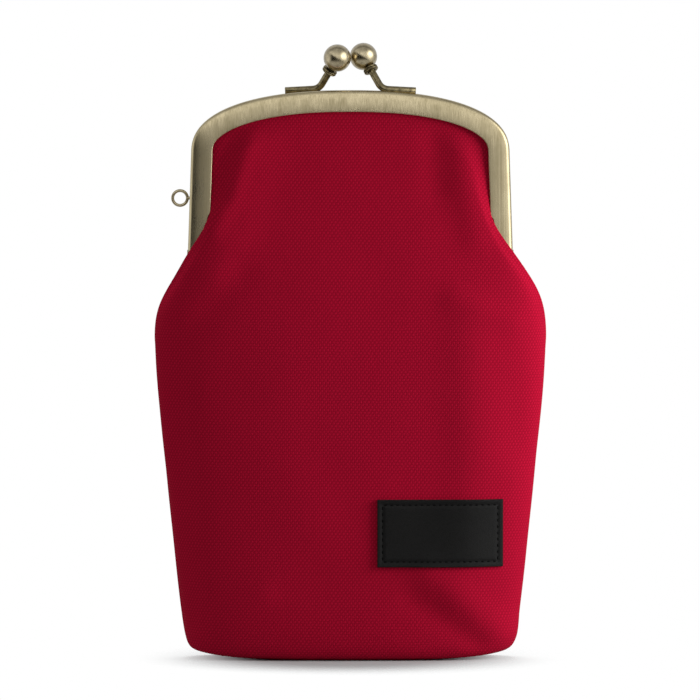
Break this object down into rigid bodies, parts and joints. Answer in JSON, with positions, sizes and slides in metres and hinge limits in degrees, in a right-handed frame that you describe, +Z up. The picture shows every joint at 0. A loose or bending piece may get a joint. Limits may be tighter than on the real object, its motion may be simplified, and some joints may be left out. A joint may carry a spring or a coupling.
{
  "type": "clasp pouch",
  "caption": "Slim upright cloth pouch with a boxed base, hung in a hinged two-part metal frame that snaps shut with crossing ball clasps; strap eye on one leg, stitched patch on the front.",
  "frame": {"origin": "centre of the base, on the surface that the pouch stands on", "axes": "x to the right as seen from the front, y to the back, z up; the label is on the -y side"},
  "size_m": [0.1096, 0.0307, 0.1722],
  "materials": {
    "antique_brass": "brushed antique brass with darkened hollows",
    "red_canvas": "tight plain-weave red cloth",
    "lining_cloth": "thin plain lining",
    "paper_cord": "twisted kraft paper",
    "black_leather": "black leather-like patch with black thread"
  },
  "bodies": {
    "pouch": {"front_panel": "red_canvas", "back_panel": "red_canvas", "front_lining": "lining_cloth", "back_lining": "lining_cloth", "label_patch": "black_leather"},
    "front_half": {"front_frame": "antique_brass", "front_paper_cord": "paper_cord", "front_clasp_wire": "antique_brass", "front_clasp_collar": "antique_brass", "front_clasp_ball": "antique_brass", "left_hinge_rivet": "antique_brass", "right_hinge_rivet": "antique_brass"},
    "back_half": {"back_frame": "antique_brass", "back_paper_cord": "paper_cord", "back_clasp_wire": "antique_brass", "back_clasp_collar": "antique_brass", "back_clasp_ball": "antique_brass", "strap_eye": "antique_brass"}
  },
  "joints": [
    {"name": "front_frame_hinge", "type": "hinge", "parent": "pouch", "child": "front_half", "pos_m": [0, 0, 0.108], "axis": [1, 0, 0], "range_deg": [0, 45], "deforming": ["front_panel", "front_lining", "back_panel", "back_lining"]},
    {"name": "back_frame_hinge", "type": "hinge", "parent": "pouch", "child": "back_half", "pos_m": [0, 0, 0.108], "axis": [1, 0, 0], "range_deg": [-45, 0], "deforming": ["front_panel", "front_lining", "back_panel", "back_lining"]}
  ],
  "couplings": [
    {"joint": "back_frame_hinge", "follows": "front_frame_hinge", "ratio": -1}
  ]
}
